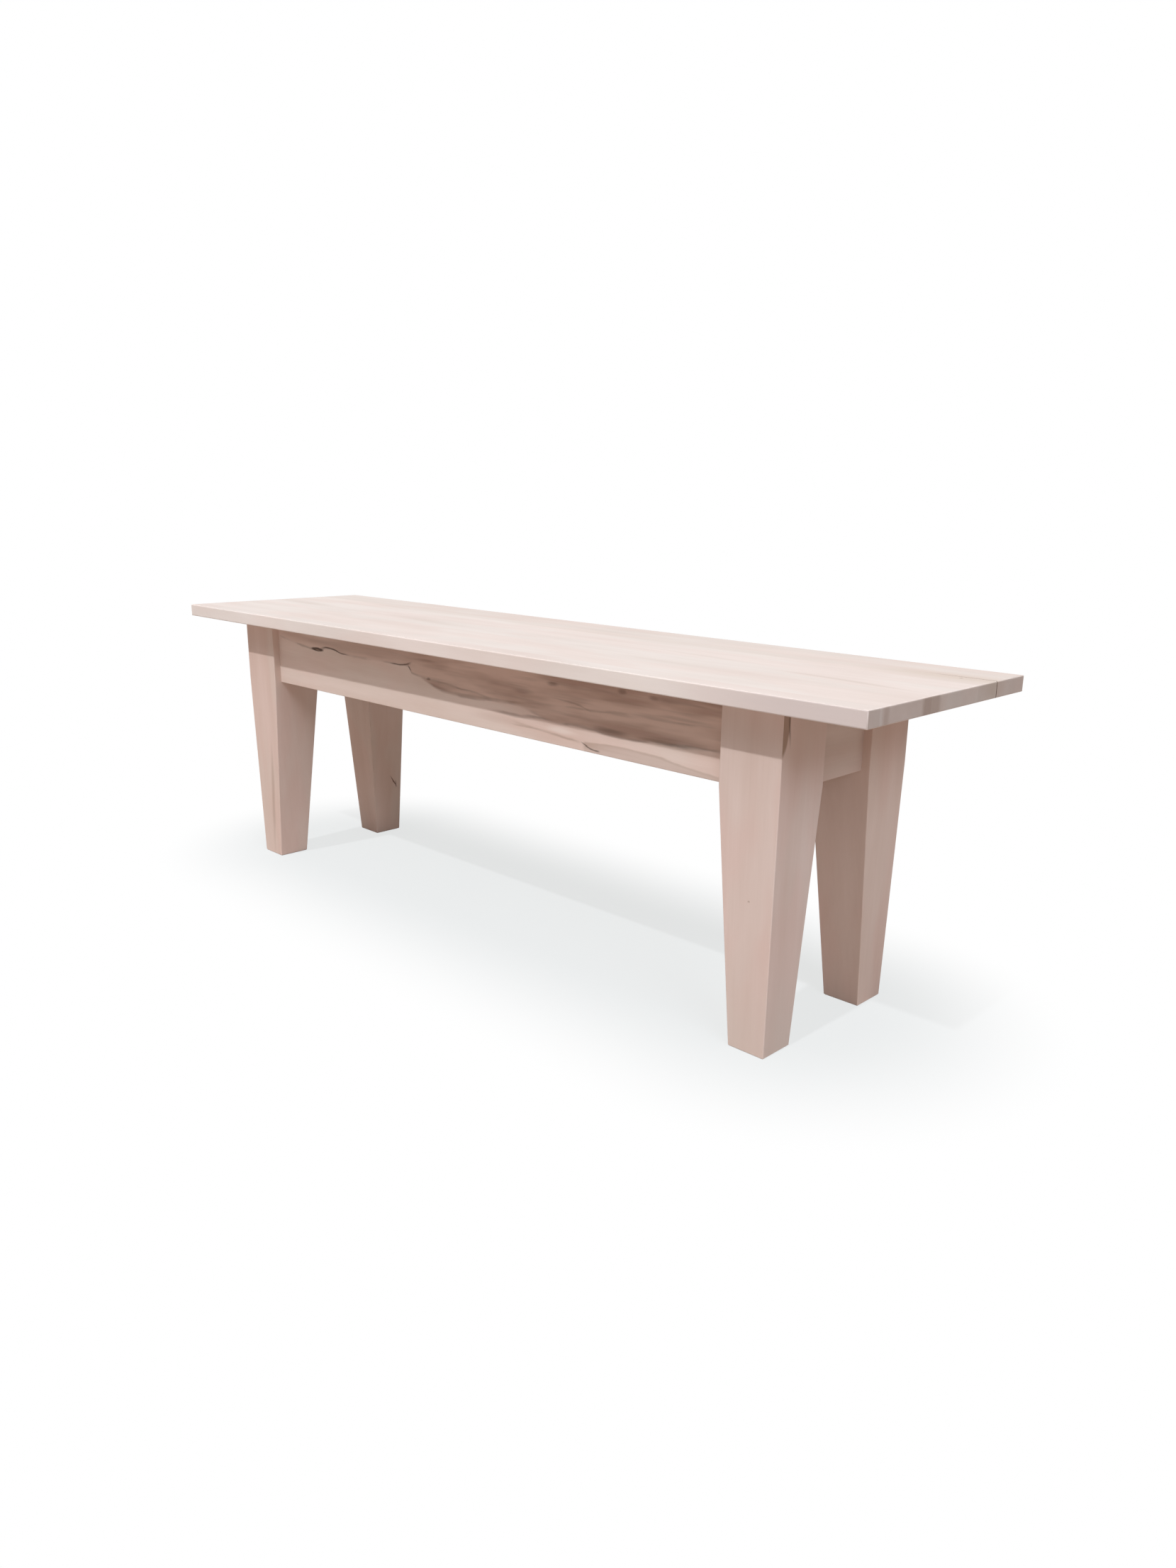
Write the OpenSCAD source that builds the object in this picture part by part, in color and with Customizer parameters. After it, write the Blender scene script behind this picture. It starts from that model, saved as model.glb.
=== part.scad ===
// Communion table: a long solid top of edge-glued boards on four tapered posts,
// joined by aprons that are tenoned into the posts.
// Millimetres, +Z up. The origin is on the floor under the middle of the top.
// X runs along the table, and the front faces -Y.

/* [Table] */
// Length of the top, along X
table_l = 2400; // [2200:10:2500]
// Width of the top, along Y
table_w = 600; // [580:5:720]
// Height of the top face above the floor
table_h = 762; // [700:1:820]

/* [Top] */
// Thickness of the top boards
top_t = 34; // [30:1:45]
// How far the top passes the legs at each end
end_overhang = 214; // [100:1:260]
// How far the top passes the legs at the front and the back
side_overhang = 66; // [40:1:80]
// Radius of the rounding round the outside of the top
top_ease = 3; // [1:0.5:6]
// Width, at the right end, of the joint that has opened in front of the back board
check_w = 2.4; // [0.6:0.2:4]
// Length over which the opened joint closes again
check_l = 230; // [100:10:300]

/* [Legs] */
// Side of the square leg beside the aprons
leg_w = 147; // [136:1:160]
// Side of the square foot
foot_w = 91; // [70:1:110]
// How far each outer face of a leg leans in at the foot
foot_lean = 9; // [0:1:14]
// Size of the bevel round the foot, which keeps it from splintering
foot_bevel = 2.5; // [1:0.5:6]

/* [Aprons] */
// Height of the aprons
apron_h = 174; // [150:1:200]
// Thickness of the aprons
apron_t = 28; // [24:1:34]
// How far an apron stands back from the outer faces of the legs
apron_setback = 20; // [8:1:26]
// Radius of the rounding along the bottom arrises of the aprons
apron_ease = 2; // [0.5:0.5:4]

/* [Joints] */
// Length of each apron tenon
tenon_l = 64; // [40:1:66]
// Thickness of each apron tenon
tenon_t = 12; // [8:1:14]
// Shoulder above and below each apron tenon
tenon_shoulder = 24; // [16:1:30]
// Length of the haunch above each apron tenon
haunch_l = 16; // [8:1:24]
// Room for glue at the bottom of each mortise
glue_room = 2; // [1:0.5:4]

/* [Cross rails] */
// Width of a cross rail, along X
rail_w = 46; // [36:1:60]
// Height of a cross rail
rail_h = 70; // [60:1:80]
// Distance from one cross rail to the next
rail_pitch = 480; // [400:10:500]
// Depth of the stub tenon at each end of a cross rail
stub_l = 12; // [8:1:14]

/* [Fastenings] */
// Width of a wooden button, along its apron
button_w = 34; // [26:1:40]
// Length of a button's body, away from its apron
button_l = 42; // [36:1:50]
// Height of a button's body
button_h = 22; // [20:1:24]
// Distance from the middle of the table to the inner buttons on the long aprons
button_near = 240; // [200:5:280]
// Distance from the middle of the table to the outer buttons on the long aprons
button_far = 650; // [600:5:660]
// Length of a button screw
button_screw_l = 40; // [35:5:45]
// Length of a cross rail screw
rail_screw_l = 50; // [45:5:50]

/* [Hidden] */
$fn = 48;

// Small overlap that lets a cutter pass through a face
cut = 1;

// The share of the top's width that each board takes, from front to back
BOARD_SHARES = [0.08, 0.28, 0.305, 0.13, 0.205];

// Heights above the floor: underside of the top, and foot of the aprons, where the legs begin to taper
under_top = table_h - top_t;
apron_foot = under_top - apron_h;

// Outer faces of the legs, and inner faces where the aprons end
leg_x = table_l / 2 - end_overhang;
leg_y = table_w / 2 - side_overhang;
span_x = 2 * (leg_x - leg_w);
span_y = 2 * (leg_y - leg_w);

// Outer and inner faces of the aprons
apron_x = leg_x - apron_setback;
apron_y = leg_y - apron_setback;
apron_in_x = apron_x - apron_t;
apron_in_y = apron_y - apron_t;

// Groove along the inner face of each apron, which holds the tongues of the buttons
groove_top = under_top - 10;
groove_h = 8;
groove_d = 8;
tongue_l = 7;
tongue_h = 7.4;

// Stub tenons of the cross rails
stub_w = 14;
stub_h = 34;
stub_top = groove_top - groove_h - 6;

// Screws: shank, head and recess
shank_r = 2.25;
head_r = 4.5;
head_h = 2.6;
point_l = 5;
recess_w = 1.1;
recess_d = 1.8;
pan_r = 4.5;
pan_h = 3;

// Cross rail screw holes: wide counterbore from below, then a slot that lets the top move
counterbore_r = 10;
counterbore_d = rail_h - 28;
slot_r = 2.9;
slot_travel = 6;
washer_r = 7.5;
washer_t = 1.2;
washer_hole_r = 2.65;
rail_screw_y = 92;
rail_seat_z = under_top - rail_h + counterbore_d;

RAIL_PLACES = [-rail_pitch, 0, rail_pitch];

// Where a button's screw stands, measured from the inner face of its apron
screw_in = 24;

// Each button as [x, y, turn]: its place on the inner face of an apron, and its turn about Z
BUTTON_PLACES = concat(
    [for (x = [-button_far, -button_near, button_near, button_far]) [x, -apron_in_y, 0]],
    [for (x = [-button_far, -button_near, button_near, button_far]) [x, apron_in_y, 180]],
    [[-apron_in_x, 0, -90], [apron_in_x, 0, 90]]
);

// Each cross rail screw as [x, y]
RAIL_SCREW_PLACES = [for (x = RAIL_PLACES, y = [-rail_screw_y, rail_screw_y]) [x, y]];

TOP_COLOUR = [0.93, 0.87, 0.83];
LEG_COLOUR = [0.83, 0.73, 0.67];
APRON_COLOUR = [0.76, 0.65, 0.58];
RAIL_COLOUR = [0.80, 0.70, 0.60];
BUTTON_COLOUR = [0.72, 0.58, 0.45];
STEEL_COLOUR = [0.62, 0.63, 0.65];

// The distance from the front of the top to the front of board number i
function board_start(i) = i == 0 ? 0 : board_start(i - 1) + BOARD_SHARES[i - 1] * table_w;

// ---------- outlines ----------

// A rectangle about the origin with round corners
module round_rectangle(w, h, r) {
    square([w - 2 * r, h], center = true);
    square([w, h - 2 * r], center = true);
    for (x = [-1, 1], y = [-1, 1])
        translate([x * (w / 2 - r), y * (h / 2 - r)])
            circle(r = r);
}

// An apron's cross-section, from its outer face at x = 0, with its bottom arrises rounded
module apron_section() {
    translate([0, apron_ease])
        square([apron_t, apron_h - apron_ease]);
    translate([apron_ease, 0])
        square([apron_t - 2 * apron_ease, apron_h]);
    for (x = [apron_ease, apron_t - apron_ease])
        translate([x, apron_ease])
            circle(r = apron_ease);
}

// A leg's side view from its outer face at x = 0: plumb beside the aprons, then tapered to the foot
module leg_outline() {
    polygon([
        [foot_lean + foot_bevel, 0],
        [foot_lean + foot_w - foot_bevel, 0],
        [foot_lean + foot_w, foot_bevel],
        [leg_w, apron_foot],
        [leg_w, under_top],
        [0, under_top],
        [0, apron_foot],
        [foot_lean, foot_bevel]
    ]);
}

// Stands a drawing up so that its x stays along X, its y becomes Z, and its depth runs along +Y
module stand_along_y(depth) {
    translate([0, depth, 0])
        rotate([90, 0, 0])
            linear_extrude(height = depth)
                children();
}

// Stands a drawing up so that its x becomes Y, its y becomes Z, and its depth runs along +X
module stand_along_x(depth) {
    rotate([90, 0, 90])
        linear_extrude(height = depth)
            children();
}

// ---------- top ----------

// The whole top as one slab, with every outer arris rounded
module eased_slab() {
    translate([0, 0, under_top + top_t / 2])
        intersection() {
            linear_extrude(height = top_t, center = true)
                round_rectangle(table_l, table_w, top_ease);
            translate([0, -table_w / 2, 0])
                stand_along_y(table_w)
                    round_rectangle(table_l, top_t, top_ease);
            translate([-table_l / 2, 0, 0])
                stand_along_x(table_l)
                    round_rectangle(table_w, top_t, top_ease);
        }
}

// Pilot holes for every screw that goes up into the top
module top_pilot_holes() {
    for (p = BUTTON_PLACES)
        translate([p.x, p.y, 0])
            rotate([0, 0, p[2]])
                translate([0, screw_in, under_top - cut])
                    cylinder(r = shank_r, h = button_screw_l - button_h + cut);
    for (p = RAIL_SCREW_PLACES)
        translate([p.x, p.y, under_top - cut])
            cylinder(r = shank_r, h = rail_seat_z - washer_t + rail_screw_l - under_top + cut);
}

// The wedge-shaped gap where the joint in front of the back board has opened at the right end
module opened_joint() {
    translate([table_l / 2, -table_w / 2 + board_start(4), under_top - cut])
        linear_extrude(height = top_t + 2 * cut)
            polygon([[-check_l, 0], [cut, 0], [cut, check_w], [0, check_w]]);
}

// Board number i of the top, counted from the front
module top_board(i) {
    color(TOP_COLOUR)
        difference() {
            intersection() {
                eased_slab();
                translate([-table_l / 2 - cut, -table_w / 2 + board_start(i), under_top - cut])
                    cube([table_l + 2 * cut, BOARD_SHARES[i] * table_w, top_t + 2 * cut]);
            }
            top_pilot_holes();
            if (i == 4)
                opened_joint();
        }
}

module top_board_front() { top_board(0); }
module top_board_front_inner() { top_board(1); }
module top_board_middle() { top_board(2); }
module top_board_back_inner() { top_board(3); }
module top_board_back() { top_board(4); }

// ---------- legs ----------

// One apron tenon in its own frame: root at x = 0 on the apron's middle plane, pointing along +X.
// The cutter of its mortise is deeper by deep, and taller by tall at the open top of the haunch.
module apron_tenon(deep = 0, tall = 0) {
    translate([-cut, -tenon_t / 2, apron_foot + tenon_shoulder])
        cube([tenon_l + deep + cut, tenon_t, apron_h - 2 * tenon_shoulder]);
    translate([-cut, -tenon_t / 2, under_top - tenon_shoulder - cut])
        cube([haunch_l + deep + cut, tenon_t, tenon_shoulder + cut + tall]);
}

// A leg with its outer corner at the origin, running towards +X and +Y
module leg_blank() {
    intersection() {
        stand_along_y(leg_w)
            leg_outline();
        stand_along_x(leg_w)
            leg_outline();
    }
}

// The two mortises of a leg, in the leg's own frame
module leg_mortises() {
    middle = apron_setback + apron_t / 2;
    translate([leg_w, middle, 0])
        mirror([1, 0, 0])
            apron_tenon(glue_room, cut);
    translate([middle, leg_w, 0])
        rotate([0, 0, -90])
            apron_tenon(glue_room, cut);
}

// The leg on the side of the table that right and back name: 0 for left or front, 1 for right or back
module leg(right, back) {
    color(LEG_COLOUR)
        mirror([right, 0, 0])
            mirror([0, back, 0])
                translate([-leg_x, -leg_y, 0])
                    difference() {
                        leg_blank();
                        leg_mortises();
                    }
}

module leg_front_left() { leg(0, 0); }
module leg_front_right() { leg(1, 0); }
module leg_back_left() { leg(0, 1); }
module leg_back_right() { leg(1, 1); }

// ---------- aprons ----------

// An apron along X about x = 0, with its outer face at y = 0 and its inner face towards +Y
module apron(span) {
    difference() {
        union() {
            translate([-span / 2, 0, apron_foot])
                stand_along_x(span)
                    apron_section();
            for (side = [0, 1])
                mirror([side, 0, 0])
                    translate([span / 2, apron_t / 2, 0])
                        apron_tenon();
        }
        translate([-span / 2 - cut, apron_t - groove_d, groove_top - groove_h])
            cube([span + 2 * cut, groove_d + cut, groove_h]);
    }
}

// Mortises for the cross rails, in a long apron's own frame
module rail_mortises() {
    for (x = RAIL_PLACES)
        translate([x - stub_w / 2, apron_t - stub_l - glue_room, stub_top - stub_h])
            cube([stub_w, stub_l + glue_room + cut, stub_h]);
}

module long_apron(back) {
    color(APRON_COLOUR)
        mirror([0, back, 0])
            translate([0, -apron_y, 0])
                difference() {
                    apron(span_x);
                    rail_mortises();
                }
}

module end_apron(right) {
    color(APRON_COLOUR)
        mirror([right, 0, 0])
            translate([-apron_x, 0, 0])
                rotate([0, 0, -90])
                    apron(span_y);
}

module apron_front() { long_apron(0); }
module apron_back() { long_apron(1); }
module apron_left() { end_apron(0); }
module apron_right() { end_apron(1); }

// ---------- cross rails ----------

// A slotted hole about the origin, along Y
module slot(r, travel, depth) {
    for (y = [-travel / 2, travel / 2])
        translate([0, y, 0])
            cylinder(r = r, h = depth);
    translate([-r, -travel / 2, 0])
        cube([2 * r, travel, depth]);
}

// A rail across the table at x, which keeps the top flat and the long aprons apart
module cross_rail(x) {
    color(RAIL_COLOUR)
        translate([x, 0, 0])
            difference() {
                union() {
                    translate([-rail_w / 2, -apron_in_y, under_top - rail_h])
                        cube([rail_w, 2 * apron_in_y, rail_h]);
                    translate([-stub_w / 2, -apron_in_y - stub_l, stub_top - stub_h])
                        cube([stub_w, 2 * (apron_in_y + stub_l), stub_h]);
                }
                for (y = [-rail_screw_y, rail_screw_y])
                    translate([0, y, 0]) {
                        translate([0, 0, under_top - rail_h - cut])
                            cylinder(r = counterbore_r, h = counterbore_d + cut);
                        translate([0, 0, rail_seat_z - cut])
                            slot(slot_r, slot_travel, rail_h);
                    }
            }
}

module cross_rail_left() { cross_rail(RAIL_PLACES[0]); }
module cross_rail_middle() { cross_rail(RAIL_PLACES[1]); }
module cross_rail_right() { cross_rail(RAIL_PLACES[2]); }

// ---------- fastenings ----------

// A wooden button: its tongue sits in the apron's groove behind y = 0, its body is screwed to the top
module button() {
    difference() {
        union() {
            translate([-button_w / 2, 0.5, under_top - button_h])
                cube([button_w, button_l, button_h]);
            translate([-button_w / 2, -tongue_l, groove_top - groove_h])
                cube([button_w, tongue_l + cut, tongue_h]);
        }
        translate([0, screw_in, under_top - button_h - cut])
            cylinder(r = shank_r + 0.3, h = button_h + 2 * cut);
        translate([0, screw_in, under_top - button_h])
            cylinder(r1 = head_r + 0.3, r2 = shank_r + 0.3, h = head_h);
        translate([0, screw_in, under_top - button_h - cut])
            cylinder(r = head_r + 0.3, h = cut);
    }
}

module top_buttons() {
    color(BUTTON_COLOUR)
        for (p = BUTTON_PLACES)
            translate([p.x, p.y, 0])
                rotate([0, 0, p[2]])
                    button();
}

// A cross-shaped recess cut up into a screw head whose face is at z = 0
module cross_recess() {
    for (turn = [0, 90])
        rotate([0, 0, turn])
            translate([-head_r / 2, -recess_w / 2, -cut])
                cube([head_r, recess_w, recess_d + cut]);
}

// A countersunk screw that points up, with the face of its head at z = 0
module countersunk_screw(length) {
    difference() {
        union() {
            cylinder(r1 = head_r, r2 = shank_r, h = head_h);
            cylinder(r = shank_r, h = length - point_l);
            translate([0, 0, length - point_l])
                cylinder(r1 = shank_r, r2 = 0.3, h = point_l);
        }
        cross_recess();
    }
}

// A pan-headed screw that points up, with the underside of its head at z = 0
module pan_screw(length) {
    difference() {
        union() {
            translate([0, 0, -pan_h])
                cylinder(r1 = pan_r - 0.8, r2 = pan_r, h = pan_h);
            cylinder(r = shank_r, h = length - point_l);
            translate([0, 0, length - point_l])
                cylinder(r1 = shank_r, r2 = 0.3, h = point_l);
        }
        translate([0, 0, -pan_h])
            cross_recess();
    }
}

module button_screws() {
    color(STEEL_COLOUR)
        for (p = BUTTON_PLACES)
            translate([p.x, p.y, 0])
                rotate([0, 0, p[2]])
                    translate([0, screw_in, under_top - button_h])
                        countersunk_screw(button_screw_l);
}

module rail_screws() {
    color(STEEL_COLOUR)
        for (p = RAIL_SCREW_PLACES)
            translate([p.x, p.y, rail_seat_z - washer_t])
                pan_screw(rail_screw_l);
}

module rail_washers() {
    color(STEEL_COLOUR)
        for (p = RAIL_SCREW_PLACES)
            translate([p.x, p.y, rail_seat_z - washer_t])
                difference() {
                    cylinder(r = washer_r, h = washer_t);
                    translate([0, 0, -cut])
                        cylinder(r = washer_hole_r, h = washer_t + 2 * cut);
                }
}

top_board_front();
top_board_front_inner();
top_board_middle();
top_board_back_inner();
top_board_back();
leg_front_left();
leg_front_right();
leg_back_left();
leg_back_right();
apron_front();
apron_back();
apron_left();
apron_right();
cross_rail_left();
cross_rail_middle();
cross_rail_right();
top_buttons();
button_screws();
rail_screws();
rail_washers();
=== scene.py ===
"""The looks of a communion table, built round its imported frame.

The table is solid maple with a limed, matt finish: a top of five edge-glued boards on four
tapered posts, joined by tenoned aprons. Everything is in metres in the row's own frame. X runs
along the table, the front faces -Y, and the floor is at z = 0.
"""
import logging
import math
from dataclasses import dataclass, field
from enum import Enum
from functools import partial
from typing import Callable, ClassVar, Optional, Sequence, Union

import bpy
from mathutils import Matrix, Vector


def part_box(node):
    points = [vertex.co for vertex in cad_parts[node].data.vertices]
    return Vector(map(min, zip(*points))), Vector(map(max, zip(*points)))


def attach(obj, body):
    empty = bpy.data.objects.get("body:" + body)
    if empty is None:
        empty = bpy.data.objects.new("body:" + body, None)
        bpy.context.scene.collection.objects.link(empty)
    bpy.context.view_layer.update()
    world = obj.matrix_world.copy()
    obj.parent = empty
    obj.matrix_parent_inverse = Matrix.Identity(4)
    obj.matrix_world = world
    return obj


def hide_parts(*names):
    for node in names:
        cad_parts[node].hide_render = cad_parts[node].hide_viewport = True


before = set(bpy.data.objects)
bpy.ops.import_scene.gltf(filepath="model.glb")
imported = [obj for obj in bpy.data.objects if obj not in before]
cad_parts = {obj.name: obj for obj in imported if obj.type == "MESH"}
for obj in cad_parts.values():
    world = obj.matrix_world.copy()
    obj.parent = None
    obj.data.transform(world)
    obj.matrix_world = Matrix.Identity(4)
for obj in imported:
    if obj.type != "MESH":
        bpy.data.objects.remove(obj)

LOG = logging.getLogger("communion_table")
BODY = "root"

Colour = tuple[float, float, float]
Point = tuple[float, float, float]
Edge = tuple[float, float]
Route = tuple[tuple[float, float], ...]
Socket = bpy.types.NodeSocket
Value = Union[float, Sequence[float], Socket]

RIGHT: Point = (1.0, 0.0, 0.0)
FRONT: Point = (0.0, -1.0, 0.0)
BACK: Point = (0.0, 1.0, 0.0)
UP: Point = (0.0, 0.0, 1.0)

DARK_LINE: Colour = (0.075, 0.045, 0.032)
BROWN_STREAK: Colour = (0.40, 0.27, 0.20)
SOFT_STREAK: Colour = (0.66, 0.55, 0.48)
KNOT_AND_GAP_SHADE: Colour = (0.22, 0.14, 0.10)
AS_IT_IS: Colour = (1.0, 1.0, 1.0)


def shaded(colour: Colour, shade: Colour) -> Colour:
    """Returns a colour with each of its parts multiplied by a shade's."""
    return tuple(part * share for part, share in zip(colour, shade))


class Grain(Enum):
    """The axis that a piece's grain follows, as the order of axes (along, across, through)."""

    ALONG_X = (0, 1, 2)
    ALONG_Y = (1, 0, 2)
    ALONG_Z = (2, 0, 1)


class Side(Enum):
    """The side of a wavy line on which the wood is tinted."""

    NEITHER = 0
    ABOVE = 1
    BELOW = -1


# ---------------- node sheets


class NodeSheet:
    """The nodes of a material or of the world, with a short call for each kind that is needed."""

    def __init__(self, owner: Union[bpy.types.Material, bpy.types.World]) -> None:
        """Starts with no nodes.

        Args:
            owner: the material or world that the nodes belong to.
        """
        owner.use_nodes = True
        self.tree = owner.node_tree
        self.tree.nodes.clear()

    def put(self, socket: Socket, value: Value) -> None:
        """Gives an input socket a link or a plain value.

        Args:
            socket: the input to fill.
            value: an output socket, a number, or a colour or vector.
        """
        if isinstance(value, bpy.types.NodeSocket):
            self.tree.links.new(value, socket)
        elif isinstance(value, (int, float)):
            socket.default_value = value
        else:
            socket.default_value = (*value, 1.0)[:len(socket.default_value)]

    def node(self, kind: str, inputs: dict[Union[int, str], Value], **settings: object) -> bpy.types.Node:
        """Adds a node.

        Args:
            kind: the node's type name without its ShaderNode prefix.
            inputs: values for its inputs, by name or index.
            settings: the node's own properties.

        Returns:
            The new node.
        """
        made = self.tree.nodes.new("ShaderNode" + kind)
        for key, value in settings.items():
            setattr(made, key, value)
        for key, value in inputs.items():
            self.put(made.inputs[key], value)
        return made

    def math(self, operation: str, *values: Value, clamp: bool = False) -> Socket:
        """Adds a Math node, whose result is held between 0 and 1 if it is clamped."""
        return self.node("Math", dict(enumerate(values)), operation=operation, use_clamp=clamp).outputs[0]

    def vector(self, operation: str, *values: Value) -> Socket:
        """Adds a Vector Math node and returns its vector output."""
        return self.node("VectorMath", dict(enumerate(values)), operation=operation).outputs[0]

    def number(self, operation: str, *values: Value) -> Socket:
        """Adds a Vector Math node and returns its number output, as for a length or a dot product."""
        return self.node("VectorMath", dict(enumerate(values)), operation=operation).outputs["Value"]

    def split(self, vector: Socket) -> list[Socket]:
        """Returns the three parts of a vector."""
        return list(self.node("SeparateXYZ", {0: vector}).outputs)

    def join(self, *parts: Value) -> Socket:
        """Returns a vector made of three parts."""
        return self.node("CombineXYZ", dict(enumerate(parts))).outputs[0]

    def ramp(self, value: Socket, low: float, high: float, start: float = 0.0, end: float = 1.0) -> Socket:
        """Turns a number into a smooth step.

        Args:
            value: the number.
            low: the value at which the result is start.
            high: the value at which the result is end.
            start: the result at the low end.
            end: the result at the high end.

        Returns:
            The result's socket.
        """
        inputs = {0: value, 1: low, 2: high, 3: start, 4: end}
        return self.node("MapRange", inputs, interpolation_type="SMOOTHSTEP").outputs[0]

    def mix(self, amount: Value, first: Value, second: Value, blend: str = "MIX") -> Socket:
        """Mixes two colours.

        Args:
            amount: the share of the second colour, from 0 to 1.
            first: the colour at 0.
            second: the colour at 1.
            blend: how the second is laid on the first.

        Returns:
            The mixed colour's socket.
        """
        inputs = {0: amount, 6: first, 7: second}
        return self.node("Mix", inputs, data_type="RGBA", blend_type=blend, clamp_factor=True).outputs[2]

    def wash(self, amount: Value, colour: Socket, shade: Colour) -> Socket:
        """Multiplies a share of a colour by a shade."""
        return self.mix(amount, colour, self.mix(1.0, colour, shade, "MULTIPLY"))

    def curve(self, value: Socket, points: Sequence[tuple[float, float]]) -> Socket:
        """Reads a smooth curve through points that lie between 0 and 1 both ways.

        Args:
            value: the number at which the curve is read.
            points: at least two points, in order.

        Returns:
            The curve's socket.
        """
        made = self.node("FloatCurve", {"Factor": 1.0, "Value": value})
        line = made.mapping.curves[0]
        line.points[0].location = points[0]
        line.points[1].location = points[-1]
        for point in points[1:-1]:
            line.points.new(*point)
        made.mapping.update()
        return made.outputs[0]


@dataclass(frozen=True)
class Noise:
    """A noise that is stretched: how many of its waves a metre holds along each part of a place."""

    waves: Point
    detail: float = 2.0
    rough: float = 0.5

    def node(self, sheet: NodeSheet, place: Socket) -> bpy.types.Node:
        """Adds the noise.

        Args:
            sheet: the nodes to add it to.
            place: where it is read.

        Returns:
            Its texture node, whose first output is a number and whose second a colour.
        """
        stretched = sheet.vector("MULTIPLY", place, self.waves)
        inputs = {"Vector": stretched, "Scale": 1.0, "Detail": self.detail, "Roughness": self.rough}
        return sheet.node("TexNoise", inputs)

    def read(self, sheet: NodeSheet, place: Socket) -> Socket:
        """Returns the noise at a place as a number."""
        return self.node(sheet, place).outputs[0]


# ---------------- marks in the wood


@dataclass(frozen=True)
class Surface:
    """What a mark needs to know about the wood that it is laid on."""

    sheet: NodeSheet
    place: Socket
    normal: Socket
    streak: Socket
    fine: Socket
    patches: Socket


@dataclass(frozen=True)
class Blotch:
    """A soft-edged patch of another colour, such as a knot, a stain or a short crack."""

    FACING_EDGE: ClassVar[Edge] = (0.6, 0.85)

    centre: Point
    radii: Point
    colour: Colour
    strength: float = 1.0
    turn: Point = (0.0, 0.0, 0.0)
    core: float = 0.2
    facing: Optional[Point] = None

    def lay(self, wood: Surface, colour: Socket) -> Socket:
        """Mixes the patch into a colour.

        Args:
            wood: the surface that it is laid on.
            colour: the colour so far.

        Returns:
            The new colour.
        """
        sheet = wood.sheet
        turn = [math.radians(angle) for angle in self.turn]
        inputs = {0: wood.place, 1: self.centre, 2: turn, 3: self.radii}
        inside = sheet.node("Mapping", inputs, vector_type="TEXTURE").outputs[0]
        mask = sheet.ramp(sheet.number("LENGTH", inside), self.core, 1.0, self.strength, 0.0)
        if self.facing is not None:
            towards = sheet.number("DOT_PRODUCT", wood.normal, self.facing)
            mask = sheet.math("MULTIPLY", mask, sheet.ramp(towards, *self.FACING_EDGE))
        return sheet.mix(mask, colour, self.colour)


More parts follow.
